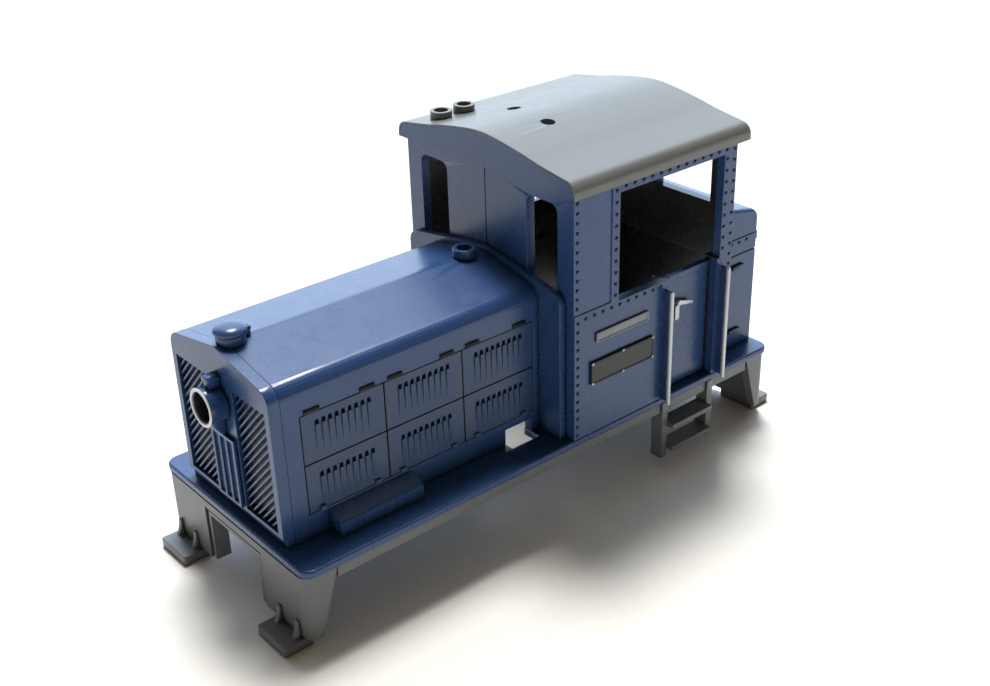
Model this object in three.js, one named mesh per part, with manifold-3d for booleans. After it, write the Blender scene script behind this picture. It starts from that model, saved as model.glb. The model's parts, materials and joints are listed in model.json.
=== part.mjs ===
// Narrow-gauge diesel locomotive model: hood, cab and footplate body.
// Millimetres. X is across the locomotive, Y runs from front (-Y) to rear (+Y), Z is up.
// Z = 0 is the underside of the four corner steps.
import * as THREE from 'three';
import { mergeVertices } from 'three/addons/utils/BufferGeometryUtils.js';
import ManifoldModule from 'manifold-3d';

const wasm = await ManifoldModule();
wasm.setup();
const { Manifold, Mesh } = wasm;

// ---------------------------------------------------------------- driving dimensions
const DECK_HALF_L = 26.0;      // footplate half length
const DECK_HALF_W = 10.5;      // footplate half width
const DECK_TOP = 7.25;         // footplate top
const DECK_T = 0.7;            // footplate thickness
const CORNER_R = 1.0;          // plan radius of the footplate corners
const GAP = 0.03;              // assembly clearance between fitted pieces

const SILL_BOTTOM = 5.5;       // underside of the side sills
const SILL_X = 10.2;           // outer face of the side sills
const LEG_X = 10.25;           // outer face of the headstock legs
const LEG_BOTTOM = 0.9;        // underside of the headstock legs
const HEAD_T = 0.9;            // headstock plate thickness
const COUPLER_HALF_W = 4.15;   // coupler opening half width
const COUPLER_TOP = 5.85;      // coupler opening top edge

const STEP_IN = 5.6, STEP_OUT = 9.5;   // corner step, inner and outer side
const STEP_TIP = 27.8;         // corner step front edge
const STEP_T = 0.86;           // corner step thickness

const HOOD_X = 6.94;           // hood half width
const HOOD_WALL = 0.9;
const HOOD_RIDGE = 21.6;       // hood ridge height
const HOOD_SLOPE = 0.19;       // drop of the hood top per millimetre of half width
const HOOD_R = 1.2;            // hood shoulder radius
const COWL_FRONT = -25.4, COWL_BACK = -24.42;
const FLANGE_FRONT = -0.05, FLANGE_X = 9.5, FLANGE_RIDGE = 22.0, FLANGE_SLOPE = 0.165;
const FLANGE_LEFT = 1.045;     // the flange reaches slightly further on the left side

const DOOR_Z0 = 9.33, DOOR_Z1 = 17.6;  // bonnet doors, bottom and top
const DOOR_Y = [[-22.93, -15.6], [-15.5, -8.1], [-8.0, -0.7]];
const DOOR_T = 0.5;

const CAB_X = 10.5, CAB_FRONT = 0.64, CAB_REAR = 19.53, CAB_WALL = 0.84;
const CAB_TOP = 28.75;         // underside of the eaves
const CAB_DOOR = [11.8, 17.7]; // cab doorway, front and rear jamb
const CAB_DOOR_IN = 0.98;      // how far the cab door sits inside the cab side
const CAB_DOOR_TOP = 18.2, CAB_DOOR_TOP_LEFT = 19.45; // the left door stands taller
const SILL_Z = 18.6;           // side window sill
const SIDE_WIN = [5.6, 18.0, 27.95];

const ROOF_X = 10.97, ROOF_FRONT = 0.17, ROOF_REAR = 20.75, ROOF_RIDGE = 31.85, ROOF_SLOPE = 0.165;

const BOARD_INSET = 0.12;      // thickness of roof showing above the gable board

const REAR_X = 8.4, REAR_FACE = 25.52, REAR_TOP = 21.78;   // rear hood half width, end face, height at the cab

const FILLER_Y = -23.9;        // filler axis
const LAMP_Z = 17.1;           // headlamp axis height

const HANDLE_Y = 13.75, HANDLE_Z = 15.5; // cab door lever pivot

// ---------------------------------------------------------------- colours
const BLUE = 0x1f4f9c, GREY = 0x8b9094, ROOFGREY = 0x9aa1a3, STEEL = 0xd9dcdc, DARK = 0x1c2a3c, PLATE = 0x23262b;
const group = new THREE.Group();
group.name = 'diesel_locomotive_body';

// ---------------------------------------------------------------- solid helpers
function toSolid(geometry) {
  let g = geometry.clone();
  for (const key of Object.keys(g.attributes)) if (key !== 'position') g.deleteAttribute(key);
  g = mergeVertices(g, 1e-4);
  const mesh = new Mesh({
    numProp: 3,
    vertProperties: new Float32Array(g.attributes.position.array),
    triVerts: new Uint32Array(g.index.array),
  });
  mesh.merge();
  return new Manifold(mesh);
}
const box = (x0, x1, y0, y1, z0, z1) => {
  const g = new THREE.BoxGeometry(x1 - x0, y1 - y0, z1 - z0);
  g.translate((x0 + x1) / 2, (y0 + y1) / 2, (z0 + z1) / 2);
  return toSolid(g);
};
const shapeOf = (pts) => { const s = new THREE.Shape(); s.setFromPoints(pts.map(([a, b]) => new THREE.Vector2(a, b))); return s; };
function extrude(pts, depth, matrix, bevel = 0) {
  const g = new THREE.ExtrudeGeometry(shapeOf(pts), bevel
    ? { depth: depth - 2 * bevel, bevelEnabled: true, bevelThickness: bevel, bevelSize: bevel, bevelOffset: -bevel, bevelSegments: 2, steps: 1 }
    : { depth, bevelEnabled: false, steps: 1 });
  if (bevel) g.translate(0, 0, bevel);
  g.applyMatrix4(matrix);
  return toSolid(g);
}
// polygon in X,Z extruded from y0 to y1
const alongY = (pts, y0, y1, bevel = 0) => extrude(pts, y1 - y0,
  new THREE.Matrix4().set(1, 0, 0, 0, 0, 0, -1, y1, 0, 1, 0, 0, 0, 0, 0, 1), bevel);
// polygon in X,Y extruded from z0 to z1
const alongZ = (pts, z0, z1, bevel = 0) => extrude(pts, z1 - z0, new THREE.Matrix4().makeTranslation(0, 0, z0), bevel);
// polygon in Y,Z extruded from x0 to x1
const alongX = (pts, x0, x1, bevel = 0) => extrude(pts, x1 - x0,
  new THREE.Matrix4().set(0, 0, 1, x0, 1, 0, 0, 0, 0, 1, 0, 0, 0, 0, 0, 1), bevel);
// turned part, closed profile of [radius, height], axis along +Z at x,y
function turnedZ(profile, x, y, z, segs = 32) {
  const g = new THREE.LatheGeometry(profile.map(([r, h]) => new THREE.Vector2(r, h)), segs);
  g.rotateX(Math.PI / 2);
  g.translate(x, y, z);
  let s = toSolid(g);
  return s;
}
// turned part, axis along -Y
function turnedFront(profile, x, y, z, segs = 36) {
  const g = new THREE.LatheGeometry(profile.map(([r, h]) => new THREE.Vector2(r, h)), segs);
  g.rotateX(Math.PI);
  g.translate(x, y, z);
  return toSolid(g);
}
const cylZ = (r, x, y, z0, z1, segs = 28) => {
  const g = new THREE.CylinderGeometry(r, r, z1 - z0, segs); g.rotateX(Math.PI / 2); g.translate(x, y, (z0 + z1) / 2); return toSolid(g);
};
const cylY = (r, x, y0, y1, z, segs = 28) => {
  const g = new THREE.CylinderGeometry(r, r, y1 - y0, segs); g.translate(x, (y0 + y1) / 2, z); return toSolid(g);
};
const cylX = (r, x0, x1, y, z, segs = 20) => {
  const g = new THREE.CylinderGeometry(r, r, x1 - x0, segs); g.rotateZ(Math.PI / 2); g.translate((x0 + x1) / 2, y, z); return toSolid(g);
};
const join = (...s) => s.reduce((a, b) => a.add(b));
const cut = (a, ...s) => s.reduce((p, q) => p.subtract(q), a);
function toGeometry(solid) {
  const m = solid.getMesh();
  const g = new THREE.BufferGeometry();
  const pos = new Float32Array(m.numVert * 3);
  for (let i = 0; i < m.numVert; i++) for (let k = 0; k < 3; k++) pos[i * 3 + k] = m.vertProperties[i * m.numProp + k];
  g.setAttribute('position', new THREE.BufferAttribute(pos, 3));
  g.setIndex(new THREE.BufferAttribute(new Uint32Array(m.triVerts), 1));
  return g;
}
// opposite-hand copy: reflect the points and turn each face round again
function reflect(solid, sx, sy) {
  const g = toGeometry(solid);
  g.scale(sx, sy, 1);
  const ix = g.index.array;
  for (let i = 0; i < ix.length; i += 3) { const t = ix[i]; ix[i] = ix[i + 1]; ix[i + 1] = t; }
  return toSolid(g);
}
const mirrorX = (s) => reflect(s, -1, 1);
const mirrorY = (s) => reflect(s, 1, -1);

function piece(name, solid, color, roughness = 0.45, metalness = 0.0) {
  const flat = toGeometry(solid).toNonIndexed();
  flat.computeVertexNormals();
  const mesh = new THREE.Mesh(flat, new THREE.MeshStandardMaterial({ color, roughness, metalness }));
  mesh.name = name;
  group.add(mesh);
  return solid;
}
// soft curve through a row of points, n steps to each span
function smoothLine(pts, n) {
  const out = [];
  for (let i = 0; i + 1 < pts.length; i++) {
    const p0 = pts[Math.max(i - 1, 0)], p1 = pts[i], p2 = pts[i + 1], p3 = pts[Math.min(i + 2, pts.length - 1)];
    for (let k = 0; k < n; k++) {
      const t = k / n, f = (a, b, c, e) => 0.5 * (2 * b + (c - a) * t + (2 * a - 5 * b + 4 * c - e) * t * t + (3 * b - a - 3 * c + e) * t * t * t);
      out.push([f(p0[0], p1[0], p2[0], p3[0]), f(p0[1], p1[1], p2[1], p3[1])]);
    }
  }
  out.push(pts[pts.length - 1]);
  return out;
}
// arc points from angle a0 to a1 in degrees
function arc(cx, cy, r, a0, a1, n) {
  const out = [];
  for (let i = 0; i <= n; i++) { const a = (a0 + (a1 - a0) * i / n) * Math.PI / 180; out.push([cx + r * Math.cos(a), cy + r * Math.sin(a)]); }
  return out;
}
const roundRect = (hx, hy, r, n = 5) => [
  ...arc(hx - r, -hy + r, r, -90, 0, n), ...arc(hx - r, hy - r, r, 0, 90, n),
  ...arc(-hx + r, hy - r, r, 90, 180, n), ...arc(-hx + r, -hy + r, r, 180, 270, n)];
function windowPts(a0, a1, z0, z1, rTop, rBot = 0.15) {
  return [...arc(a0 + rBot, z0 + rBot, rBot, 180, 270, 2), ...arc(a1 - rBot, z0 + rBot, rBot, 270, 360, 2),
    ...arc(a1 - rTop, z1 - rTop, rTop, 0, 90, 5), ...arc(a0 + rTop, z1 - rTop, rTop, 90, 180, 5)];
}
// gabled outline with rounded shoulders and a softened ridge, right to left, open at z0
function gable(hw, z0, ridge, slope, r, ridgeHalf = 1.2, n = 6) {
  const a = Math.atan(slope) * 180 / Math.PI;           // roof pitch
  const zc = ridge - slope * hw;                         // where pitch line meets the side
  const t = r * Math.tan((90 - a) / 2 * Math.PI / 180);  // tangent length
  const cx = hw - r, cz = zc - t;
  const right = [[hw, z0], ...arc(cx, cz, r, 0, 90 - a, n)];
  const top = [];
  const zr = ridge - slope * ridgeHalf / 2;
  top.push([ridgeHalf, ridge - slope * ridgeHalf], [0, zr]);
  const left = [...right].reverse().map(([x, z]) => [-x, z]);
  return [...right, ...top, [-ridgeHalf, ridge - slope * ridgeHalf], ...left];
}

// ================================================================ FRAME
const planOutline = roundRect(DECK_HALF_W, DECK_HALF_L, CORNER_R, 6);

// footplate with the openings under hood, cab and rear hood
{
  let s = alongZ(planOutline, DECK_TOP - DECK_T, DECK_TOP, 0.16);
  const wellFront = alongZ([[-5.9, -24.0], [5.9, -24.0], [5.9, 1.6], [8.9, 1.6], [8.9, 18.5], [-8.9, 18.5], [-8.9, 1.6], [-5.9, 1.6]], 6, 8);
  const wellRear = box(-7.3, 7.3, 19.9, 24.6, 6, 8);
  const notchR = box(5.5, 7.8, -3.8, -0.85, 6, 8);
  s = cut(s, wellFront, wellRear, notchR, mirrorX(notchR));
  piece('footplate', s, BLUE, 0.4);
}

// headstocks: front plate with coupler opening, wrapped corners and tapered legs
function headstock() {
  const outer = alongZ(roundRect(LEG_X, DECK_HALF_L, CORNER_R, 6), LEG_BOTTOM, DECK_TOP - DECK_T - GAP);
  const plate = box(-11, 11, -26.5, -DECK_HALF_L + HEAD_T, 0, 7);
  const sidePts = [[-26.5, 0], [-24.75, 0], [-24.75, LEG_BOTTOM], [-23.05, DECK_TOP - DECK_T], [-23.05, 7], [-26.5, 7]];
  const flankR = alongX(sidePts, LEG_X - HEAD_T, 11);
  let s = outer.intersect(join(plate, flankR, mirrorX(flankR)));
  const opening = box(-COUPLER_HALF_W, COUPLER_HALF_W, -27, -24, -1, COUPLER_TOP);
  return cut(s, opening);
}
const headFront = headstock();
piece('front_headstock', headFront, GREY, 0.55);
piece('rear_headstock', mirrorY(headFront), GREY, 0.55);

// coupler pockets: thin liner in each headstock opening, held by a flange behind the plate
function couplerPocket() {
  const zt = COUPLER_TOP - 0.28, xo = COUPLER_HALF_W - 0.28, w = 0.34;
  const y0 = -DECK_HALF_L + 0.12, y1 = -24.55;
  let s = cut(box(-xo, xo, y0, y1, LEG_BOTTOM, zt), box(-xo + w, xo - w, y0 - 1, y1 + 1, -1, zt - w));
  const fy0 = -DECK_HALF_L + HEAD_T + GAP;
  const flange = cut(box(-xo - 0.75, xo + 0.75, fy0, y1, LEG_BOTTOM + 0.4, COUPLER_TOP + 0.45), box(-xo + w, xo - w, -27, -20, -1, zt - w));
  return join(s, flange);
}
const pocketFront = couplerPocket();
piece('front_coupler_pocket', pocketFront, GREY, 0.6);
piece('rear_coupler_pocket', mirrorY(pocketFront), GREY, 0.6);

// side sills between the headstock flanks
{
  const ys = 23.02;
  const s = box(SILL_X - 0.9, SILL_X, -ys, ys, SILL_BOTTOM, DECK_TOP - DECK_T - GAP);
  piece('side_sill_right', s, GREY, 0.55);
  piece('side_sill_left', mirrorX(s), GREY, 0.55);
}

// corner steps with two gussets each
function cornerStep() {
  const plan = [[STEP_IN, -25.3], [STEP_IN, -STEP_TIP + 0.15], [STEP_IN + 0.15, -STEP_TIP], [STEP_OUT - 0.15, -STEP_TIP], [STEP_OUT, -STEP_TIP + 0.15], [STEP_OUT, -25.3]];
  let s = alongZ(plan, 0, STEP_T, 0.08);
  const g = (x) => alongX([[-26.04, STEP_T - 0.1], [-26.04, 2.3], [-26.2, 2.3], [-26.3, 1.6], [-26.62, STEP_T - 0.1]], x, x + 0.42);
  return join(s, g(6.15), g(8.6));
}
const step = cornerStep();
piece('step_front_right', step, GREY, 0.55);
piece('step_front_left', mirrorX(step), GREY, 0.55);
piece('step_rear_right', mirrorY(step), GREY, 0.55);
piece('step_rear_left', mirrorX(mirrorY(step)), GREY, 0.55);

// cab ladders: two stringers, two treads
{
  const stringer = (y) => join(box(9.15, 10.42, y, y + 0.68, 0.82, SILL_BOTTOM - GAP), box(SILL_X + GAP, 10.42, y, y + 0.68, 5.3, 6.5));
  const tread = (z) => alongX([[11.6, z - 0.42], [18.0, z - 0.42], [18.0, z], [11.6, z]], 9.3, 10.3).add(box(10.2, 11.12, 12.2, 17.4, z - 0.42, z));
  const s = join(stringer(11.5), stringer(17.42), tread(4.35), tread(2.05));
  piece('cab_ladder_right', s, GREY, 0.6);
  piece('cab_ladder_left', mirrorX(s), GREY, 0.6);
}

// equipment boxes on the footplate beside the hood
{
  const s = alongY([[HOOD_X + 0.04, DECK_TOP + GAP], [8.45, DECK_TOP + GAP], [8.45, 8.32], [8.3, 8.5], [HOOD_X + 0.04, 9.08]], -21.3, -13.5);
  piece('running_board_box_right', s, BLUE, 0.42);
  piece('running_board_box_left', mirrorX(s), BLUE, 0.42);
}

// ================================================================ HOOD
const hoodOuter = gable(HOOD_X, DECK_TOP + GAP, HOOD_RIDGE, HOOD_SLOPE, HOOD_R, 0.25);
const hoodInnerPts = gable(HOOD_X - HOOD_WALL, DECK_TOP - 1, HOOD_RIDGE - HOOD_WALL, HOOD_SLOPE, 0.6, 1.0, 4);
{
  let s = alongY(hoodOuter, COWL_BACK + GAP, FLANGE_FRONT - GAP);
  s = cut(s, alongY(hoodInnerPts, COWL_BACK - 1, 2));
  const yA = DOOR_Y[0][0] - 0.06, yB = DOOR_Y[2][1] + 0.06;
  const side = [box(HOOD_X - DOOR_T - 0.03, HOOD_X + 1, yA, yB, DOOR_Z0 - 0.06, DOOR_Z1 + 0.06)];
  for (const [a, b] of DOOR_Y) side.push(box(HOOD_X - 2, HOOD_X, a + 0.42, b - 0.42, DOOR_Z0 + 0.4, DOOR_Z1 - 0.4));
  side.push(box(HOOD_X - 2, HOOD_X + 1, -3.8, -0.85, 6, 8.62));
  for (const c of side) s = cut(s, c, mirrorX(c));
  s = cut(s, cylZ(0.6, 0, -1.85, 20, 23));
  // hinge knuckles above each door
  for (const [a, b] of DOOR_Y) for (const y of [a + 0.3, b - 2.15]) {
    const k = alongY([[HOOD_X - 0.15, DOOR_Z1 + 0.1], [HOOD_X + 0.16, DOOR_Z1 + 0.1], [HOOD_X + 0.2, DOOR_Z1 + 0.24], [HOOD_X + 0.14, DOOR_Z1 + 0.42], [HOOD_X - 0.15, DOOR_Z1 + 0.46]], y, y + 1.35);
    s = join(s, k, mirrorX(k));
  }
  piece('hood_shell', s, BLUE, 0.35);
}

// bonnet doors: louvred panels hinged along the top edge
function bonnetDoor(a, b) {
  const xo = HOOD_X, xi = HOOD_X - DOOR_T;
  let s = box(xi, xo, a, b, DOOR_Z0, DOOR_Z1);
  // parting groove between upper and lower leaf
  s = cut(s, box(xo - 0.1, xo + 1, a - 1, b + 1, 13.42, 13.54));
  const mid = (a + b) / 2, n = 9, pitch = 0.575;
  for (const [z0, z1] of [[9.95, 12.62], [14.0, 17.05]]) {
    // hooded louvres: each rises from the flat panel to an open mouth at its top
    for (let i = 0; i < n; i++) {
      const y = mid + (i - (n - 1) / 2) * pitch;
      const l = alongY([[xo - 0.1, z0], [xo, z0], [xo + 0.12, z1 - 0.52], [xo + 0.12, z1 - 0.45], [xo - 0.1, z1 - 0.45]], y - 0.17, y + 0.17);
      s = join(s, l);
      s = cut(s, box(xo - 0.28, xo + 1, y - 0.17, y + 0.17, z1 - 0.45, z1 - 0.08));
    }
  }
  for (const y of [a + 0.9, b - 1.4]) s = join(s, box(xo - 0.1, xo + 0.2, y, y + 0.5, DOOR_Z0 + 0.1, DOOR_Z0 + 0.34));
  return s;
}
['front', 'middle', 'rear'].forEach((label, i) => {
  const d = bonnetDoor(...DOOR_Y[i]);
  piece(`bonnet_door_right_${label}`, d, BLUE, 0.4);
  piece(`bonnet_door_left_${label}`, mirrorX(d), BLUE, 0.4);
});

// radiator cowl: front frame of the hood
const PANEL = [1.9, 6.32, 8.45, 18.58];
{
  const prof = gable(HOOD_X + 0.02, DECK_TOP + GAP, HOOD_RIDGE + 0.02, HOOD_SLOPE, HOOD_R, 0.25);
  let s = alongY(prof, COWL_FRONT, COWL_BACK);
  const openR = box(PANEL[0], PANEL[1], -26, -23, PANEL[2], PANEL[3]);
  s = cut(s, openR, mirrorX(openR));
  s = cut(s, box(-8, 8, COWL_FRONT - 1, COWL_FRONT + 0.32, 7, 8.1));
  piece('radiator_cowl', s, BLUE, 0.35);
}

// radiator grilles: diagonal slats on a thin backing, both leaning the same way
function grille(side) {
  const c = 0.03;
  const x0 = side > 0 ? PANEL[0] + c : -PANEL[1] + c, x1 = side > 0 ? PANEL[1] - c : -PANEL[0] - c;
  const z0 = PANEL[2] + c, z1 = PANEL[3] - c;
  let s = box(x0, x1, COWL_FRONT + 0.62, COWL_BACK, z0, z1);
  const pitch = 0.4828, cx = (x0 + x1) / 2, cz = (z0 + z1) / 2;
  let slats = null;
  const R = 8;
  for (let k = -16; k <= 16; k++) {
    const g = new THREE.BoxGeometry(2 * R, 0.5, 0.14);
    g.translate(0, 0, k * pitch);
    g.rotateY(-Math.PI / 4);
    g.translate(cx, COWL_FRONT + 0.44, cz);
    const b = toSolid(g);
    slats = slats ? slats.add(b) : b;
  }
  slats = slats.intersect(box(x0, x1, COWL_FRONT, COWL_BACK, z0, z1));
  return join(s, slats);
}
piece('radiator_grille_right', grille(1), BLUE, 0.45);
piece('radiator_grille_left', grille(-1), BLUE, 0.45);

// ribbed duct on the centre of the radiator
{
  const y0 = COWL_FRONT - 0.3, y1 = COWL_FRONT - GAP;
  let s = box(-1.65, 1.65, y0, y1, 8.45, 14.38);
  for (const [a, b] of [[-1.36, -0.62], [-0.38, 0.38], [0.62, 1.36]]) s = cut(s, box(a, b, y0 - 1, y1 - 0.06, 8.72, 14.1));
  piece('radiator_centre_duct', s, BLUE, 0.4);
}

// headlamp
{
  const yb = COWL_FRONT - GAP;
  // barrel, closed at the back, open at the front
  const barrel = turnedFront([[0, 0.0], [1.38, 0.0], [1.44, 0.1], [1.44, 1.5], [1.2, 1.5], [1.2, 0.3], [0, 0.3], [0, 0]], 0, yb, LAMP_Z);
  piece('headlamp_housing', barrel, BLUE, 0.4);
  const rim = turnedFront([[1.27, 1.53], [1.53, 1.53], [1.57, 1.58], [1.51, 1.65], [1.33, 1.65], [1.27, 1.6], [1.27, 1.53]], 0, yb, LAMP_Z);
  piece('headlamp_rim', rim, 0xf2f4f2, 0.3, 0.1);
  // vent cap on top of the barrel
  const vent = join(box(-0.4, 0.4, -26.35, yb, LAMP_Z + 1.15, LAMP_Z + 2.0),
    alongY([[-0.52, LAMP_Z + 1.95], [0.52, LAMP_Z + 1.95], [0.52, LAMP_Z + 2.2], [0.32, LAMP_Z + 2.4], [-0.32, LAMP_Z + 2.4], [-0.52, LAMP_Z + 2.2]], -26.45, yb));
  const barrelHull = cylY(1.47, 0, -27, -25, LAMP_Z, 36);
  piece('headlamp_vent', cut(vent, barrelHull), BLUE, 0.45);
  // bracket below the barrel
  const br = alongX([[yb, 14.45], [yb, 16.2], [-26.45, 16.2], [-26.45, 15.35], [-25.75, 14.45]], -0.45, 0.45);
  piece('headlamp_bracket', cut(br, barrelHull), BLUE, 0.45);
}

// filler: neck on the ridge, lid hinged at the rear lug
const hoodSkin = alongY(gable(HOOD_X + 0.05, 5, HOOD_RIDGE + 0.05, HOOD_SLOPE, HOOD_R, 0.25), -30, 4);
{
  const y = FILLER_Y;
  let neck = cylZ(1.12, 0, y, 20.8, 22.16, 32);
  neck = cut(neck, cylZ(0.8, 0, y, 20, 23, 24));
  neck = join(neck, box(-0.28, 0.28, y + 0.95, y + 1.55, 20.9, 21.98));
  piece('filler_neck', cut(neck, hoodSkin), BLUE, 0.4);
  let lid = turnedZ([[0, 0], [1.18, 0], [1.28, 0.12], [1.26, 0.34], [1.08, 0.52], [0.62, 0.64], [0, 0.66], [0, 0]], 0, y, 22.2, 36);
  lid = join(lid, box(-0.24, 0.24, y + 1.1, y + 1.62, 22.02, 22.3));
  piece('filler_lid', lid, BLUE, 0.35);
}

// exhaust socket at the rear of the hood
{
  let s = cut(cylZ(1.0, 0, -1.85, 20.8, 22.32, 36), cylZ(0.64, 0, -1.85, 20, 23, 28));
  piece('exhaust_socket', cut(s, hoodSkin), BLUE, 0.35);
}

// flange between hood and cab
{
  const outline = gable(FLANGE_X, DECK_TOP + GAP, FLANGE_RIDGE, FLANGE_SLOPE, 1.1, 1.2).map(([x, z]) => [x < 0 ? x * FLANGE_LEFT : x, z]);
  let s = alongY(outline, FLANGE_FRONT, CAB_FRONT - 0.12);
  s = cut(s, alongY(hoodInnerPts, -2, 2));
  piece('hood_flange', s, BLUE, 0.4);
}

// ================================================================ CAB
{
  // plan outline: the front wall has a very slight centre crease
  const bow = 0.08;
  const plan = [[-CAB_X, CAB_FRONT], [0, CAB_FRONT - bow], [CAB_X, CAB_FRONT], [CAB_X, CAB_REAR], [-CAB_X, CAB_REAR]];
  let s = alongZ(plan, DECK_TOP + GAP, CAB_TOP);
  // gabled head of the end walls, up inside the roof
  const head = alongY([[-9.9, 28], [9.9, 28], [9.9, 29.35], [0, 30.9], [-9.9, 29.35]], CAB_FRONT + 0.05, CAB_REAR - 0.05);
  s = join(s, head);
  s = cut(s, box(-CAB_X + CAB_WALL, CAB_X - CAB_WALL, CAB_FRONT + CAB_WALL, CAB_REAR - CAB_WALL, 6, 32));
  // thickened jambs and sill rail inside the doorway
  for (const [ya, yb] of [[CAB_DOOR[0] - 0.8, CAB_DOOR[0] + 0.1], [CAB_DOOR[1] - 0.1, CAB_DOOR[1] + 0.8]]) {
    const jamb = box(CAB_X - 1.5, CAB_X - 0.4, ya, yb, DECK_TOP + GAP, SILL_Z);
    s = join(s, jamb, mirrorX(jamb));
  }
  // door recesses and doorways
  const recess = box(CAB_X - 3, CAB_X + 1, CAB_DOOR[0], CAB_DOOR[1], 6, SILL_Z + 2);
  s = cut(s, recess, mirrorX(recess));
  // side windows
  const sw = alongX([[SIDE_WIN[0], SILL_Z], [CAB_DOOR[0] + 0.2, SILL_Z], [SIDE_WIN[1], SILL_Z], [SIDE_WIN[1], SIDE_WIN[2]], [SIDE_WIN[0], SIDE_WIN[2]]], CAB_X - 2, CAB_X + 1);
  s = cut(s, sw, mirrorX(sw));
  // front windows
  const fw = alongY(windowPts(5.0, 8.55, 20.0, 27.7, 0.75), CAB_FRONT - 1, CAB_FRONT + CAB_WALL + 0.5);
  s = cut(s, fw, mirrorX(fw));
  // rear windows, sill just above the rear hood
  const rw = alongY([[2.3, 23.05], [8.5, 23.05], ...arc(7.9, 27.1, 0.6, 0, 90, 4), ...arc(2.9, 27.1, 0.6, 90, 180, 4)], CAB_REAR - CAB_WALL - 0.5, CAB_REAR + 1);
  s = cut(s, rw, mirrorX(rw));
  // passage from hood to cab and from cab to rear hood
  s = cut(s, alongY(hoodInnerPts, -2, CAB_FRONT + CAB_WALL + 0.5));
  s = cut(s, box(-7.3, 7.3, CAB_REAR - CAB_WALL - 0.5, CAB_REAR + 1, 6, 18.0));
  // raised plating: lower side panel, window frame strips
  const t = 0.1;
  const cutPanel = box(CAB_X - t, CAB_X + 1, CAB_FRONT - 1, 4.72, 18.74, CAB_TOP + 1);
  s = cut(s, cutPanel, mirrorX(cutPanel));
  // seam down the centre of the front wall
  s = cut(s, box(-0.05, 0.05, -1, CAB_FRONT - bow + 0.09, 7, CAB_TOP + 0.1));
  // web of each handrail stands out beside the doorway, with the doorway edge
  for (const y of [11.02, 18.2]) {
    const web = box(CAB_X - 0.2, CAB_X + 0.62, y, y + 0.34, DECK_TOP + GAP, 17.75);
    s = join(s, web, mirrorX(web));
  }
  piece('cab_shell', s, BLUE, 0.4);
}

// handrails on the outer edge of the webs
[['front', 11.02], ['rear', 18.2]].forEach(([label, y]) => {
  const xc = CAB_X + 0.62 + GAP;
  const s = alongZ([[xc, y - 0.01], [xc + 0.2, y - 0.01], [xc + 0.27, y + 0.08], [xc + 0.27, y + 0.27], [xc + 0.2, y + 0.36], [xc, y + 0.36]], DECK_TOP - 0.3, 17.8);
  piece(`handrail_right_${label}`, s, STEEL, 0.3, 0.4);
  piece(`handrail_left_${label}`, mirrorX(s), STEEL, 0.3, 0.4);
});

// cab doors, hung on the rear jamb, with lock plate and lever
{
  const xo = CAB_X - CAB_DOOR_IN, xi = xo - 0.5, c = 0.05;
  const door = (top) => {
    let s = box(xi, xo, CAB_DOOR[0] + c, CAB_DOOR[1] - c, DECK_TOP + 0.08, top);
    // pressed panel edge
    s = join(s, box(xo - 0.1, xo + 0.07, CAB_DOOR[0] + c, CAB_DOOR[1] - c, top - 0.55, top));
    return cut(s, cylX(0.22, xi - 1, xo + 1, HANDLE_Y, HANDLE_Z, 16));
  };
  piece('cab_door_right', door(CAB_DOOR_TOP), BLUE, 0.4);
  piece('cab_door_left', mirrorX(door(CAB_DOOR_TOP_LEFT)), BLUE, 0.4);
  const lock = alongX([...arc(13.82, 14.99, 0.2, 0, 90, 3), ...arc(13.7, 14.99, 0.2, 90, 180, 3), ...arc(13.7, 13.96, 0.2, 180, 270, 3), ...arc(13.82, 13.96, 0.2, 270, 360, 3)], xo + 0.02, xo + 0.16);
  piece('door_lock_plate_right', lock, STEEL, 0.35, 0.3);
  piece('door_lock_plate_left', mirrorX(lock), STEEL, 0.35, 0.3);
  // lever, spindle through the door and short inside lever in one
  const lever = join(cylX(0.24, xo + GAP, xo + 0.46, HANDLE_Y, HANDLE_Z, 16),
    alongX([[HANDLE_Y - 0.16, HANDLE_Z - 0.19], [HANDLE_Y + 0.1, HANDLE_Z - 0.2], [15.35, 14.98], [15.4, 15.12], [15.3, 15.27], [HANDLE_Y, HANDLE_Z + 0.2]], xo + 0.28, xo + 0.46),
    cylX(0.18, xi - GAP - 0.2, xo + 0.3, HANDLE_Y, HANDLE_Z, 16),
    box(xi - GAP - 0.26, xi - GAP, HANDLE_Y - 0.16, 15.1, HANDLE_Z - 0.2, HANDLE_Z + 0.2));
  piece('door_handle_right', lever, STEEL, 0.35, 0.3);
  piece('door_handle_left', mirrorX(lever), STEEL, 0.35, 0.3);
}

// plates on the cab sides, left blank
{
  const plate = (y0, y1, z0, z1, t) => {
    let s = box(CAB_X + 0.02, CAB_X + t, y0, y1, z0, z1);
    return cut(s, box(CAB_X + t - 0.05, CAB_X + 1, y0 + 0.14, y1 - 0.14, z0 + 0.14, z1 - 0.14));
  };
  const number = plate(2.4, 9.7, 12.0, 14.05, 0.24), name = plate(3.0, 9.05, 15.7, 16.6, 0.2);
  piece('number_plate_right', number, PLATE, 0.4);
  piece('number_plate_left', mirrorX(number), PLATE, 0.4);
  piece('name_plate_right', name, 0xc9ccca, 0.4);
  piece('name_plate_left', mirrorX(name), 0xc9ccca, 0.4);
}

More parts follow.
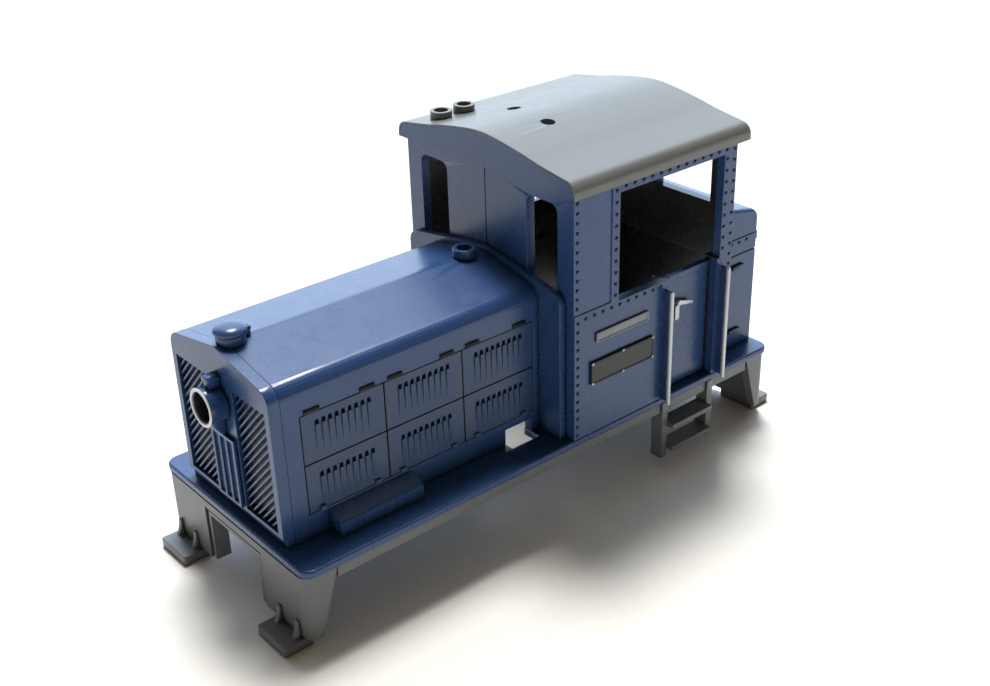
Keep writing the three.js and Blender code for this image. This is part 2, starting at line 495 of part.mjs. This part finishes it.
// ================================================================ ROOF
// outline across the roof at an inset d from its outer surface
function roofOutline(d, base = CAB_TOP + 0.05) {
  const hw = ROOF_X - d, dz = d;
  const side = [[hw, base], ...arc(hw - 1.0, 29.25 - dz, 1.0, 0, 80, 6)];
  const top = smoothLine([side[side.length - 1], [7.0 - d * 0.4, 30.72 - dz], [5.0, 31.13 - dz], [2.6, 31.53 - dz], [0.7, 31.745 - dz], [-0.7, 31.745 - dz]], 4);
  const right = [...side, ...top.slice(1).filter(([x]) => x > 0.2)];
  return [...right, ...[...right].reverse().map(([x, z]) => [-x, z])];
}
{
  let s = alongY(roofOutline(0), ROOF_FRONT, ROOF_REAR);
  // rounded rear corners and rear top edge
  const r = 0.4, n = 4;
  for (let k = 1; k <= n; k++) {
    const a = (k - 0.5) / n * Math.PI / 2, inset = r * (1 - Math.cos(a));
    const y = ROOF_REAR - r + r * Math.sin((k - 1) / n * Math.PI / 2 + 0.12);
    s = s.subtract(cut(box(-12, 12, y, ROOF_REAR + 1, 28, 33), alongY(roofOutline(inset, 25), y - 1, ROOF_REAR + 2)));
  }
  // hollow underside over the cab walls
  const hollow = alongY([[-9.96, 28], [9.96, 28], [9.96, 29.4], [0, 30.98], [-9.96, 29.4]], CAB_FRONT + 0.02, CAB_REAR - 0.02);
  s = cut(s, hollow);
  // seat for the gable board under the front edge
  s = cut(s, alongY(roofOutline(BOARD_INSET, 25), -1, CAB_FRONT + 0.05));
  // ventilation holes
  s = cut(s, cylZ(0.62, -3.4, 6.8, 29, 33, 24), cylZ(0.62, 1.84, 5.88, 29, 33, 24));
  s = cut(s, cylZ(0.6, -7.7, 2.35, 29, 33, 24), cylZ(0.6, -7.7, 4.85, 29, 33, 24));
  piece('cab_roof', s, ROOFGREY, 0.5);
  // board that closes the gable above the front wall
  piece('gable_board_front', alongY(roofOutline(BOARD_INSET + GAP), ROOF_FRONT, CAB_FRONT), BLUE, 0.4);
  const skin = alongY(roofOutline(-0.03), -3, 24);
  [['front', 2.35], ['rear', 4.85]].forEach(([label, y]) => {
    const ring = cut(cylZ(0.94, -7.7, y, 29.5, 31.3, 32), cylZ(0.62, -7.7, y, 28, 33, 24), skin);
    piece(`roof_socket_${label}`, ring, ROOFGREY, 0.5);
  });
}

// ================================================================ REAR HOOD
// outline across the hood at an inset d: nearly flat top with a slight crown and tight shoulders
function rearOutline(hw, zTop, r, z0) {
  const right = [[hw, z0], ...arc(hw - r, zTop - 0.2 - r, r, 0, 85, 4), [hw * 0.62, zTop - 0.07], [hw * 0.3, zTop - 0.01]];
  return [...right, ...[...right].reverse().map(([x, z]) => [-x, z])];
}
{
  const y0 = CAB_REAR + GAP;
  let s = alongY(rearOutline(REAR_X, REAR_TOP + 0.2, 0.4, DECK_TOP + GAP), y0, REAR_FACE);
  // long-side and end outline: top falling to the rear, rounded rear edge
  const drop = (y) => REAR_TOP - (y - y0) * 0.21;
  const profile = (d) => [[y0 - 1, 6], [REAR_FACE - d, 6], [REAR_FACE - d, 18.6],
    ...arc(REAR_FACE - 1.25, drop(REAR_FACE - 1.25) - 1.25 - d, 1.25 - d * 0.5, 0, 78, 6), [y0 - 1, drop(y0 - 1) + 0.12 - d]];
  // the crown follows the fall of the top: shear a copy of the outline down to the rear
  const sheared = (g, f) => { const q = toGeometry(g); const a = q.attributes.position; for (let i = 0; i < a.count; i++) if (a.getZ(i) > 14) a.setZ(i, a.getZ(i) - (a.getY(i) - y0) * f); return toSolid(q); };
  s = sheared(s, 0.21).intersect(alongX(profile(0), -9, 9));
  const inner = sheared(alongY(rearOutline(REAR_X - 0.9, REAR_TOP - 0.75, 0.4, 6), y0 - 1, REAR_FACE - 0.9), 0.21).intersect(alongX(profile(0.9), -9, 9));
  s = cut(s, inner);
  // pressed panel lines on the sides
  const lines = join(box(REAR_X - 0.12, REAR_X + 1, y0 - 1, 30, 18.2, 18.33), box(REAR_X - 0.12, REAR_X + 1, y0 - 1, 30, 16.6, 16.73));
  s = cut(s, lines, mirrorX(lines));
  piece('rear_hood', s, BLUE, 0.4);
}
export default group;
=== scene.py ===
# Looks for the narrow-gauge diesel locomotive body. Metres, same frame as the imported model.
import json
import math
import bmesh
import bpy
from mathutils import Matrix, Vector


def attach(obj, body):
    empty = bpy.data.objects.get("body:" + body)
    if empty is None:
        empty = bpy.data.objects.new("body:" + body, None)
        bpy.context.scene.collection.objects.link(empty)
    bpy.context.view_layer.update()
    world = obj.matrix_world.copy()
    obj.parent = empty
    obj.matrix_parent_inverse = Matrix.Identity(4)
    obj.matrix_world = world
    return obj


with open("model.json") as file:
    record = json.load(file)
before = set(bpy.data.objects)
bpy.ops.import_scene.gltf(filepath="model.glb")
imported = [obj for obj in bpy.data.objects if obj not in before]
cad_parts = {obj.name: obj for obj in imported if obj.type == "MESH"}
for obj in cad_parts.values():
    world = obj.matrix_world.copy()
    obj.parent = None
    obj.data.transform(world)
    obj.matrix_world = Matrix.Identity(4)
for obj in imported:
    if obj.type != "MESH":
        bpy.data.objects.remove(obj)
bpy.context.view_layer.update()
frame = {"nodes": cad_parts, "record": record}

MM = 0.001
N = frame["nodes"]
scene = bpy.context.scene

# ------------------------------------------------------------------ camera
AZ, EL, ROLL = math.radians(50.1195), math.radians(27.512), math.radians(-1.6551)
DIST = 111.908 * MM
TX, TY, TZ = 1.7516 * MM, -1.1385 * MM, 13.1112 * MM
FOCAL_PX, WIDTH_PX = 1305.468, 990.0

d = Vector((math.sin(AZ) * math.cos(EL), -math.cos(AZ) * math.cos(EL), math.sin(EL)))
fwd = -d
right = fwd.cross(Vector((0, 0, 1))).normalized()
up = right.cross(fwd)
right2 = math.cos(ROLL) * right + math.sin(ROLL) * up
up2 = -math.sin(ROLL) * right + math.cos(ROLL) * up
target = right * TX + Vector((0, TY, TZ))
eye = target + d * DIST
cam_data = bpy.data.cameras.new("camera")
cam_data.sensor_width = 36.0
cam_data.lens = FOCAL_PX / WIDTH_PX * 36.0
cam_data.clip_start = 0.002
cam_data.clip_end = 20.0
camera = bpy.data.objects.new("camera", cam_data)
scene.collection.objects.link(camera)
rot = Matrix((right2, up2, d)).transposed().to_4x4()
camera.matrix_world = Matrix.Translation(eye) @ rot
scene.camera = camera

# ------------------------------------------------------------------ light
BRIGHT_SIDE, DIM_SIDE = (1.75, 2.10, 2.55, 1.0), (0.128, 0.104, 0.066, 1.0)
scene.view_settings.view_transform = "Standard"
scene.view_settings.look = "None"
scene.view_settings.exposure = 0.0
world = bpy.data.worlds.new("studio")
scene.world = world
world.use_nodes = True
wt = world.node_tree
bg = wt.nodes["Background"]
# a bright window wall behind and to the left, a dim warm room on the other side
w_co = wt.nodes.new("ShaderNodeTexCoord")
w_dot = wt.nodes.new("ShaderNodeVectorMath")
w_dot.operation = "DOT_PRODUCT"
w_dot.inputs[1].default_value = Vector((-0.68, 0.57, 0.40)).normalized()
wt.links.new(w_co.outputs["Generated"], w_dot.inputs[0])
w_map = wt.nodes.new("ShaderNodeMapRange")
w_map.interpolation_type = "SMOOTHSTEP"
w_map.inputs["From Min"].default_value = 0.52
w_map.inputs["From Max"].default_value = 0.90
wt.links.new(w_dot.outputs["Value"], w_map.inputs["Value"])
w_mix = wt.nodes.new("ShaderNodeMix")
w_mix.data_type = "RGBA"
w_mix.clamp_result = False
w_mix.inputs["A"].default_value = DIM_SIDE
w_mix.inputs["B"].default_value = BRIGHT_SIDE
wt.links.new(w_map.outputs["Result"], w_mix.inputs["Factor"])
wt.links.new(w_mix.outputs["Result"], bg.inputs["Color"])
bg.inputs["Strength"].default_value = 1.0


def area_light(name, where, at, size, power, colour=(1, 1, 1), size_y=None):
    data = bpy.data.lights.new(name, "AREA")
    data.energy = power
    data.color = colour
    data.shape = "RECTANGLE"
    data.size = size
    data.size_y = size_y or size
    ob = bpy.data.objects.new(name, data)
    scene.collection.objects.link(ob)
    ob.location = where
    ob.rotation_euler = (Vector(at) - Vector(where)).to_track_quat("-Z", "Y").to_euler()
    return ob


area_light("high_soft", (-0.252, 0.198, 0.837), (0, 0, 0.01), 0.23, 8.8, (1.0, 0.985, 0.955))

# ------------------------------------------------------------------ materials


def new_material(name):
    m = bpy.data.materials.new(name)
    m.use_nodes = True
    nt = m.node_tree
    nt.nodes.clear()
    out = nt.nodes.new("ShaderNodeOutputMaterial")
    sh = nt.nodes.new("ShaderNodeBsdfPrincipled")
    nt.links.new(sh.outputs["BSDF"], out.inputs["Surface"])
    return m, nt, sh


def moulded(name, base, light, dark, rough, grain=1.0, metallic=0.0, spec=0.5, mottle=0.5, wear=None, coat=0.0, ao_shade_strength=0.6, interior_and_shade_zones=None, lines=None, shade=(0.026, 0.027, 0.029)):
    """Moulded and sprayed plastic: mottled colour, fine orange-peel, painted shade darkening the corners and joints,
    rubbed edges, and listed zones and gap lines coloured dark, partly as painted shade.
    """
    m, nt, sh = new_material(name)
    L = nt.links.new
    coord = nt.nodes.new("ShaderNodeTexCoord")

    def noise(scale, detail, rough_, dist=0.0):
        n = nt.nodes.new("ShaderNodeTexNoise")
        n.inputs["Scale"].default_value = scale
        n.inputs["Detail"].default_value = detail
        n.inputs["Roughness"].default_value = rough_
        n.inputs["Distortion"].default_value = dist
        L(coord.outputs["Object"], n.inputs["Vector"])
        return n

    def ramp(src, stops):
        r = nt.nodes.new("ShaderNodeValToRGB")
        while len(r.color_ramp.elements) < len(stops):
            r.color_ramp.elements.new(0.5)
        for e, (p, c) in zip(r.color_ramp.elements, stops):
            e.position = p
            e.color = (*c, 1.0)
        L(src, r.inputs["Fac"])
        return r

    def mix(a, b, fac, kind="MIX"):
        x = nt.nodes.new("ShaderNodeMix")
        x.data_type = "RGBA"
        x.blend_type = kind
        for sock, val in ((x.inputs["Factor"], fac), (x.inputs["A"], a), (x.inputs["B"], b)):
            if hasattr(val, "is_linked") or hasattr(val, "links"):
                L(val, sock)
            elif isinstance(val, tuple):
                sock.default_value = (*val, 1.0)
            else:
                sock.default_value = val
        return x.outputs["Result"]

    broad = noise(170.0, 3.0, 0.5)
    fine = noise(2600.0, 4.0, 0.62)
    flow = noise(620.0, 5.0, 0.6, 0.6)
    c = ramp(broad.outputs["Fac"], [(0.30, dark), (0.52, base), (0.74, light)]).outputs["Color"]
    c = mix(c, ramp(flow.outputs["Fac"], [(0.35, tuple(v * (1 - 0.22 * mottle) for v in base)), (0.65, tuple(min(1, v * (1 + 0.22 * mottle)) for v in base))]).outputs["Color"], 0.45)
    # painted shade: soft darkening in the corners, driven by ambient occlusion
    ao = nt.nodes.new("ShaderNodeAmbientOcclusion")
    ao.samples = 6
    ao.inputs["Distance"].default_value = 0.9 * MM
    painted_corner_shade = ramp(ao.outputs["AO"], [(0.25, (1, 1, 1)), (0.85, (0, 0, 0))]).outputs["Color"]
    scaled = nt.nodes.new("ShaderNodeMath")
    scaled.operation = "MULTIPLY"
    L(painted_corner_shade, scaled.inputs[0])
    scaled.inputs[1].default_value = ao_shade_strength
    c = mix(c, tuple(v * 0.38 for v in dark), scaled.outputs[0])
    if wear:
        # rubbed edges where the coat is thin
        geo = nt.nodes.new("ShaderNodeNewGeometry")
        edge = nt.nodes.new("ShaderNodeMath")
        edge.operation = "MULTIPLY"
        L(ramp(geo.outputs["Pointiness"], [(0.53, (0, 0, 0)), (0.60, (1, 1, 1))]).outputs["Color"], edge.inputs[0])
        L(ramp(fine.outputs["Fac"], [(0.42, (0, 0, 0)), (0.62, (0.55, 0.55, 0.55))]).outputs["Color"], edge.inputs[1])
        c = mix(c, wear, edge.outputs[0])
    # painted shade: tight darkening in the joints and creases, driven by ambient occlusion
    ao2 = nt.nodes.new("ShaderNodeAmbientOcclusion")
    ao2.samples = 6
    ao2.inputs["Distance"].default_value = 0.28 * MM
    painted_joint_shade = ramp(ao2.outputs["AO"], [(0.30, (1, 1, 1)), (0.78, (0, 0, 0))]).outputs["Color"]
    j2 = nt.nodes.new("ShaderNodeMath")
    j2.operation = "MULTIPLY"
    L(painted_joint_shade, j2.inputs[0])
    j2.inputs[1].default_value = min(1.0, ao_shade_strength * 1.25)
    c = mix(c, tuple(v * 0.12 for v in dark), j2.outputs[0])
    masks = []

    def math_node(op, a, b=None, third=None):
        q = nt.nodes.new("ShaderNodeMath")
        q.operation = op
        for k, val in enumerate((a, b, third)):
            if val is None:
                continue
            if hasattr(val, "is_linked"):
                L(val, q.inputs[k])
            else:
                q.inputs[k].default_value = val
        return q.outputs[0]

    # Listed zones are coloured with shade: in the hood, the hinge band, the louvre mouths, the grille backing and the
    # lamp bore this is painted shade; elsewhere it is the dark colour of inner walls and inner trim.
    if interior_and_shade_zones or lines:
        xyz = nt.nodes.new("ShaderNodeSeparateXYZ")
        L(coord.outputs["Object"], xyz.inputs[0])
        X, Y, Z = xyz.outputs[0], xyz.outputs[1], xyz.outputs[2]
        AX = math_node("ABSOLUTE", X)
    for kind, *v in interior_and_shade_zones or ():
        if kind == "box":
            hx, y0, y1, z0, z1 = (q * MM for q in v)
            m1 = math_node("MULTIPLY", math_node("LESS_THAN", AX, hx), math_node("GREATER_THAN", Y, y0))
            m2 = math_node("MULTIPLY", math_node("LESS_THAN", Y, y1), math_node("LESS_THAN", Z, z1))
            masks.append(math_node("MULTIPLY", math_node("MULTIPLY", m1, m2), math_node("GREATER_THAN", Z, z0)))
        elif kind == "bore":
            zc, r = (q * MM for q in v)
            dz = math_node("SUBTRACT", Z, zc)
            rr2 = math_node("ADD", math_node("MULTIPLY", X, X), math_node("MULTIPLY", dz, dz))
            masks.append(math_node("LESS_THAN", rr2, r * r))
        elif kind == "beyond":
            hx, z0, z1 = (q * MM for q in v)
            m1 = math_node("MULTIPLY", math_node("GREATER_THAN", AX, hx), math_node("GREATER_THAN", Z, z0))
            masks.append(math_node("MULTIPLY", m1, math_node("LESS_THAN", Z, z1)))
        elif kind == "behind":
            masks.append(math_node("GREATER_THAN", Y, v[0] * MM))
        elif kind == "under":
            gn = nt.nodes.new("ShaderNodeNewGeometry")
            gz = nt.nodes.new("ShaderNodeSeparateXYZ")
            L(gn.outputs["True Normal"], gz.inputs[0])
            masks.append(math_node("LESS_THAN", gz.outputs[2], -0.2))
    # painted shade: near-black lines drawn along the panel gaps
    painted_gap_shade = [math_node("COMPARE", Y if kind == "y" else Z, at * MM, half * MM) for kind, at, half in lines or ()]
    for group, tone in ((masks, shade), (painted_gap_shade, (0.007, 0.010, 0.018))):
        if group:
            total = group[0]
            for q in group[1:]:
                total = math_node("MAXIMUM", total, q)
            c = mix(c, tone, total)
    L(c, sh.inputs["Base Color"])
    rr = nt.nodes.new("ShaderNodeMapRange")
    rr.inputs["To Min"].default_value = rough - 0.07
    rr.inputs["To Max"].default_value = rough + 0.09
    L(flow.outputs["Fac"], rr.inputs["Value"])
    L(rr.outputs["Result"], sh.inputs["Roughness"])
    b1 = nt.nodes.new("ShaderNodeBump")
    b1.inputs["Strength"].default_value = 0.22 * grain
    b1.inputs["Distance"].default_value = 0.012 * MM
    L(fine.outputs["Fac"], b1.inputs["Height"])
    b2 = nt.nodes.new("ShaderNodeBump")
    b2.inputs["Strength"].default_value = 0.06 * grain
    b2.inputs["Distance"].default_value = 0.03 * MM
    L(flow.outputs["Fac"], b2.inputs["Height"])
    L(b1.outputs["Normal"], b2.inputs["Normal"])
    L(b2.outputs["Normal"], sh.inputs["Normal"])
    sh.inputs["Metallic"].default_value = metallic
    sh.inputs["Specular IOR Level"].default_value = spec
    if coat:
        sh.inputs["Coat Weight"].default_value = coat
        sh.inputs["Coat Roughness"].default_value = 0.25
    return m


B0, B1, B2 = (0.0255, 0.071, 0.204), (0.027, 0.075, 0.213), (0.024, 0.067, 0.195)
BLUE = moulded("blue_satin", B0, B1, B2, 0.27, grain=0.22, mottle=0.10)
BLUE_CAB = moulded("blue_cab", B0, B1, B2, 0.26, grain=0.22, mottle=0.10, interior_and_shade_zones=[("box", 9.72, 1.43, 18.74, 5.0, 31.5)])
BLUE_CAB_DOOR = moulded("blue_cab_door", B0, B1, B2, 0.26, grain=0.22, mottle=0.10, interior_and_shade_zones=[("box", 9.06, 5.0, 19.0, 5.0, 31.5)])
# painted shade: the hood's inside and a near-black band along the bonnet-door hinge line at z 17.6 to 18.2 mm
BLUE_HOOD = moulded("blue_hood", B0, B1, B2, 0.28, grain=0.22, mottle=0.10, interior_and_shade_zones=[("box", 6.08, -24.5, 2.0, 5.0, 19.6), ("beyond", 6.975, 17.6, 18.2)], shade=(0.008, 0.010, 0.015))
# painted shade: two near-black lines along the rear hood's panel gaps; its inside takes the dark inner-wall colour
BLUE_REAR = moulded("blue_rear", B0, B1, B2, 0.26, grain=0.22, mottle=0.10, interior_and_shade_zones=[("box", 7.55, 19.6, 24.66, 5.0, 19.0)], lines=[("z", 18.265, 0.075), ("z", 16.665, 0.075)])
# Bonnet doors: a darker copy of the blue, painted shade for the hood side; near-black panel-gap lines and a darkened
# inside for the louvre mouths, both painted shade.
BLUE_DOORS_SHADED = moulded("blue_bonnet_doors_shaded", (0.024, 0.061, 0.160), (0.0255, 0.064, 0.168), (0.0225, 0.058, 0.152), 0.30, grain=0.22, mottle=0.12, ao_shade_strength=0.10, interior_and_shade_zones=[("box", 6.90, -24.0, 0.5, 5.0, 19.0)],
                     lines=[("y", -22.93, 0.05), ("y", -15.55, 0.10), ("y", -8.05, 0.10), ("y", -0.7, 0.05), ("z", 17.6, 0.05), ("z", 9.33, 0.05), ("z", 13.48, 0.085)], shade=(0.040, 0.066, 0.125))
# painted shade: the lamp bore coloured near black
BLUE_LAMP = moulded("blue_lamp", B0, B1, B2, 0.24, grain=0.22, mottle=0.10, interior_and_shade_zones=[("bore", 17.1, 1.215)], shade=(0.012, 0.013, 0.020))
# painted shade: a darker copy of the blue for the rear hood hinges
BLUE_SHADED = moulded("blue_shaded", (0.025, 0.060, 0.155), (0.027, 0.064, 0.162), (0.023, 0.056, 0.147), 0.30, grain=0.4, mottle=0.12)
# painted shade: a much darker copy of the blue for rivet heads and hinge straps
BLUE_RIVET_SHADED = moulded("blue_rivets_shaded", (0.014, 0.030, 0.072), (0.016, 0.033, 0.078), (0.012, 0.027, 0.066), 0.34, grain=0.4, mottle=0.12)
# painted shade: the grille backing between the slats coloured near black
BLUE_GRILLE = moulded("blue_grille", (0.036, 0.078, 0.190), (0.038, 0.082, 0.198), (0.033, 0.073, 0.180), 0.32, grain=0.4, mottle=0.12, ao_shade_strength=0.4, interior_and_shade_zones=[("behind", -24.93)], shade=(0.012, 0.018, 0.034))
GREY = moulded("grey_moulded", (0.150, 0.160, 0.172), (0.156, 0.166, 0.178), (0.144, 0.154, 0.166), 0.36, grain=0.6, mottle=0.08)
ROOF = moulded("roof_grey", (0.168, 0.177, 0.168), (0.173, 0.182, 0.173), (0.163, 0.172, 0.163), 0.33, grain=0.5, mottle=0.05, ao_shade_strength=0.35, interior_and_shade_zones=[("under",)])
SILVER = moulded("silver_edge", (0.62, 0.64, 0.65), (0.70, 0.72, 0.73), (0.50, 0.52, 0.53), 0.34, grain=0.5, metallic=0.35, mottle=0.3, ao_shade_strength=0.35, interior_and_shade_zones=[("box", 9.08, 10.0, 20.0, 5.0, 20.0)])
WHITE = moulded("white_rim", (0.80, 0.82, 0.82), (0.88, 0.90, 0.90), (0.66, 0.69, 0.70), 0.30, grain=0.5, mottle=0.2, ao_shade_strength=0.2)
PLATE = moulded("plate_dark", (0.020, 0.022, 0.024), (0.024, 0.026, 0.028), (0.016, 0.018, 0.020), 0.40, grain=0.4, mottle=0.2)
PALE = moulded("plate_pale", (0.26, 0.29, 0.33), (0.30, 0.33, 0.37), (0.21, 0.24, 0.28), 0.42, grain=0.4, mottle=0.2)

slots = {s["node"]: s["material_slot"] for s in frame["record"]["subparts"]}
by_slot = {"blue_moulding": BLUE, "grey_moulding": GREY, "roof_moulding": ROOF, "silver_trim": SILVER, "white_rim": WHITE, "dark_plate": PLATE, "pale_plate": PALE}


def dress(ob, material, bevel, angle=32, segments=2, fine=0):
    """Material, clean faces, softened edges and even shading on a carried-over node."""
    me = ob.data
    if me.materials:
        for i in range(len(me.materials)):
            me.materials[i] = material
    else:
        me.materials.append(material)
    me.polygons.foreach_set("use_smooth", [True] * len(me.polygons))
    w = ob.modifiers.new("join", "WELD")
    w.merge_threshold = 0.0008 * MM
    if bevel:
        b = ob.modifiers.new("edge", "BEVEL")
        b.width = bevel * MM
        b.segments = segments
        b.limit_method = "ANGLE"
        b.angle_limit = math.radians(angle)
        b.use_clamp_overlap = True
        b.miter_outer = "MITER_ARC"
    if fine:
        sub = ob.modifiers.new("fine", "SUBSURF")
        sub.subdivision_type = "SIMPLE"
        sub.levels = fine
        sub.render_levels = fine
    wn = ob.modifiers.new("shade", "WEIGHTED_NORMAL")
    wn.weight = 60
    wn.keep_sharp = False


BEVEL = {"footplate": 0.05, "cab_roof": 0.08, "cab_shell": 0.07, "hood_shell": 0.05, "radiator_cowl": 0.09, "rear_hood": 0.08,
         "hood_flange": 0.12, "front_headstock": 0.09, "rear_headstock": 0.09, "radiator_grille_right": 0.03, "radiator_grille_left": 0.03,
         "headlamp_rim": 0.03, "filler_lid": 0.04}
for name, ob in N.items():
    mat = by_slot[slots[name]]
    if name.startswith("radiator_grille"):
        mat = BLUE_GRILLE
    elif name == "cab_shell":
        mat = BLUE_CAB
    elif name.startswith("cab_door"):
        mat = BLUE_CAB_DOOR
    elif name == "hood_shell":
        mat = BLUE_HOOD
    elif name == "rear_hood":
        mat = BLUE_REAR
    elif name.startswith("bonnet_door"):
        mat = BLUE_DOORS_SHADED
    elif name == "headlamp_housing":
        mat = BLUE_LAMP
    width = BEVEL.get(name, 0.05)
    if name.startswith("bonnet_door"):
        width = 0.0
    dress(ob, mat, width, fine={"hood_shell": 2, "footplate": 1}.get(name, 0))
    if name.startswith(("bonnet_door", "radiator_grille")):
        ob.data.polygons.foreach_set("use_smooth", [False] * len(ob.data.polygons))
        ob.modifiers.clear()

# ------------------------------------------------------------------ small mesh pieces


def finish_piece(name, bm, material, body, bevel=0.0, smooth=True, sub=0):
    me = bpy.data.meshes.new(name)
    bmesh.ops.recalc_face_normals(bm, faces=bm.faces)
    bm.to_mesh(me)
    bm.free()
    ob = bpy.data.objects.new(name, me)
    scene.collection.objects.link(ob)
    me.materials.append(material)
    me.polygons.foreach_set("use_smooth", [smooth] * len(me.polygons))
    if bevel:
        b = ob.modifiers.new("edge", "BEVEL")
        b.width = bevel * MM
        b.segments = 2
        b.limit_method = "ANGLE"
        b.angle_limit = math.radians(35)
        wn = ob.modifiers.new("shade", "WEIGHTED_NORMAL")
        wn.weight = 60
    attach(ob, body)
    return ob


def dome(bm, centre, axis, r, h, seg=10, rings=3):
    """Low round head standing on a face: axis is the outward direction."""
    a = Vector(axis).normalized()
    t = a.orthogonal().normalized()
    b = a.cross(t)
    c = Vector(centre) * MM
    loops = []
    for k in range(rings):
        ang = k / rings * math.pi / 2
        rr, hh = r * math.cos(ang) * MM, (h * math.sin(ang) - 0.02 * (k == 0)) * MM
        loops.append([bm.verts.new(c + a * hh + (t * math.cos(2 * math.pi * i / seg) + b * math.sin(2 * math.pi * i / seg)) * rr) for i in range(seg)])
    tip = bm.verts.new(c + a * h * MM)
    for k in range(rings - 1):
        for i in range(seg):
            j = (i + 1) % seg
            bm.faces.new((loops[k][i], loops[k][j], loops[k + 1][j], loops[k + 1][i]))
    for i in range(seg):
        bm.faces.new((loops[-1][i], loops[-1][(i + 1) % seg], tip))
    bm.faces.new(list(reversed(loops[0])))


def prism(bm, pts, axis, a, b):
    """Closed prism from a polygon given in the two other axes, millimetres."""
    idx = {"x": (1, 2), "y": (0, 2), "z": (0, 1)}[axis]
    k = {"x": 0, "y": 1, "z": 2}[axis]

    def v(p, h):
        q = [0.0, 0.0, 0.0]
        q[idx[0]], q[idx[1]], q[k] = p[0] * MM, p[1] * MM, h * MM
        return bm.verts.new(q)

    lo = [v(p, a) for p in pts]
    hi = [v(p, b) for p in pts]
    n = len(pts)
    bm.faces.new(lo)
    bm.faces.new(list(reversed(hi)))
    for i in range(n):
        bm.faces.new((lo[i], hi[i], hi[(i + 1) % n], lo[(i + 1) % n]))


def steps(a, b, pitch):
    n = max(1, round(abs(b - a) / pitch))
    return [a + (b - a) * i / n for i in range(n + 1)]


CAB_SIDE = 10.5
for side, s in (("right", 1), ("left", -1)):
    # rivet lines of the cab side, in the darker rivet blue that is painted shade
    bm = bmesh.new()
    R, H = 0.17, 0.13
    for z in steps(7.65, 18.05, 0.8):
        dome(bm, (s * CAB_SIDE, 1.03, z), (s, 0, 0), R, H)
    for z in steps(19.3, 28.2, 0.81):
        dome(bm, (s * (CAB_SIDE - 0.1), 1.03, z), (s, 0, 0), R, H)
    for z in steps(19.2, 28.2, 1.0):
        dome(bm, (s * CAB_SIDE, 5.22, z), (s, 0, 0), R, H)
    for y in steps(6.2, 18.2, 1.0):
        dome(bm, (s * CAB_SIDE, y, 28.35), (s, 0, 0), R, H)
    for y in steps(1.9, 10.6, 1.0):
        dome(bm, (s * CAB_SIDE, y, 18.22), (s, 0, 0), R, H)
    for z in steps(19.4, 27.5, 1.0):
        dome(bm, (s * CAB_SIDE, 18.33, z), (s, 0, 0), R, H)
    for z in steps(8.1, 28.2, 0.97):
        dome(bm, (s * CAB_SIDE, 19.25, z), (s, 0, 0), R * 0.95, H)
    finish_piece("cab_rivets_" + side, bm, BLUE_RIVET_SHADED, "body_shell")

    # bolts that hold the number plate
    bm = bmesh.new()
    for y, z in ((2.52, 13.93), (9.58, 13.93), (2.52, 12.12), (9.58, 12.12), (6.05, 14.0), (6.05, 12.06)):
        dome(bm, (s * (CAB_SIDE + 0.23), y, z), (s, 0, 0), 0.15, 0.09)
    finish_piece("number_plate_bolts_" + side, bm, SILVER, "body_shell")

    # rear hood: rivets, long hinge straps, corner knob, in darker blues that are painted shade
    x = 8.4
    bm = bmesh.new()
    for y in (20.1, 21.13, 22.17, 23.2, 24.23):
        dome(bm, (s * x, y, 17.85), (s, 0, 0), 0.18, 0.12)
    finish_piece("rear_hood_rivets_" + side, bm, BLUE_RIVET_SHADED, "body_shell")
    bm = bmesh.new()
    for z in (15.52, 9.02):
        for y0, y1 in ((22.25, 23.9),):
            prism(bm, [(y0, z - 0.12), (y0 + 0.15, z - 0.24), (y1 - 0.25, z - 0.2), (y1, z - 0.05), (y1, z + 0.1), (y1 - 0.25, z + 0.22), (y0 + 0.15, z + 0.2), (y0, z + 0.08)], "x", s * (x - 0.02), s * (x + 0.26))
    finish_piece("rear_hood_straps_" + side, bm, BLUE_RIVET_SHADED, "body_shell", bevel=0.05)
    bm = bmesh.new()
    face = 25.52
    for z0, z1 in ((13.95, 14.9), (8.75, 9.8)):
        prism(bm, [(s * 7.75, z0), (s * 8.2, z0), (s * 8.2, z1), (s * 7.75, z1)], "y", face - 0.02, face + 0.22)
    prism(bm, [(s * 7.5, 17.4), (s * 8.2, 17.4), (s * 8.2, 18.1), (s * 7.95, 18.35), (s * 7.5, 18.35)], "y", face - 0.02, face + 0.45)
    finish_piece("rear_hood_hinges_" + side, bm, BLUE_SHADED, "body_shell", bevel=0.05)

# floor: pale paper
bm = bmesh.new()
S = 1.6
nx = 24
grid = [[bm.verts.new((-S + 2 * S * i / nx, -S + 2 * S * j / nx, 0.0)) for j in range(nx + 1)] for i in range(nx + 1)]
for i in range(nx):
    for j in range(nx):
        bm.faces.new((grid[i][j], grid[i + 1][j], grid[i + 1][j + 1], grid[i][j + 1]))
me = bpy.data.meshes.new("floor")
bm.to_mesh(me)
bm.free()
floor = bpy.data.objects.new("floor", me)
scene.collection.objects.link(floor)
fm, nt, sh = new_material("paper")
tc = nt.nodes.new("ShaderNodeTexCoord")
nz = nt.nodes.new("ShaderNodeTexNoise")
nz.inputs["Scale"].default_value = 900.0
nz.inputs["Detail"].default_value = 5.0
nt.links.new(tc.outputs["Object"], nz.inputs["Vector"])
cr = nt.nodes.new("ShaderNodeValToRGB")
cr.color_ramp.elements[0].color = (0.880, 0.850, 0.800, 1)
cr.color_ramp.elements[1].color = (0.935, 0.905, 0.860, 1)
nt.links.new(nz.outputs["Fac"], cr.inputs["Fac"])
nt.links.new(cr.outputs["Color"], sh.inputs["Base Color"])
sh.inputs["Roughness"].default_value = 0.85
sh.inputs["Specular IOR Level"].default_value = 0.2
bp = nt.nodes.new("ShaderNodeBump")
bp.inputs["Strength"].default_value = 0.1
bp.inputs["Distance"].default_value = 0.02 * MM
nt.links.new(nz.outputs["Fac"], bp.inputs["Height"])
nt.links.new(bp.outputs["Normal"], sh.inputs["Normal"])
me.materials.append(fm)

bpy.context.view_layer.update()
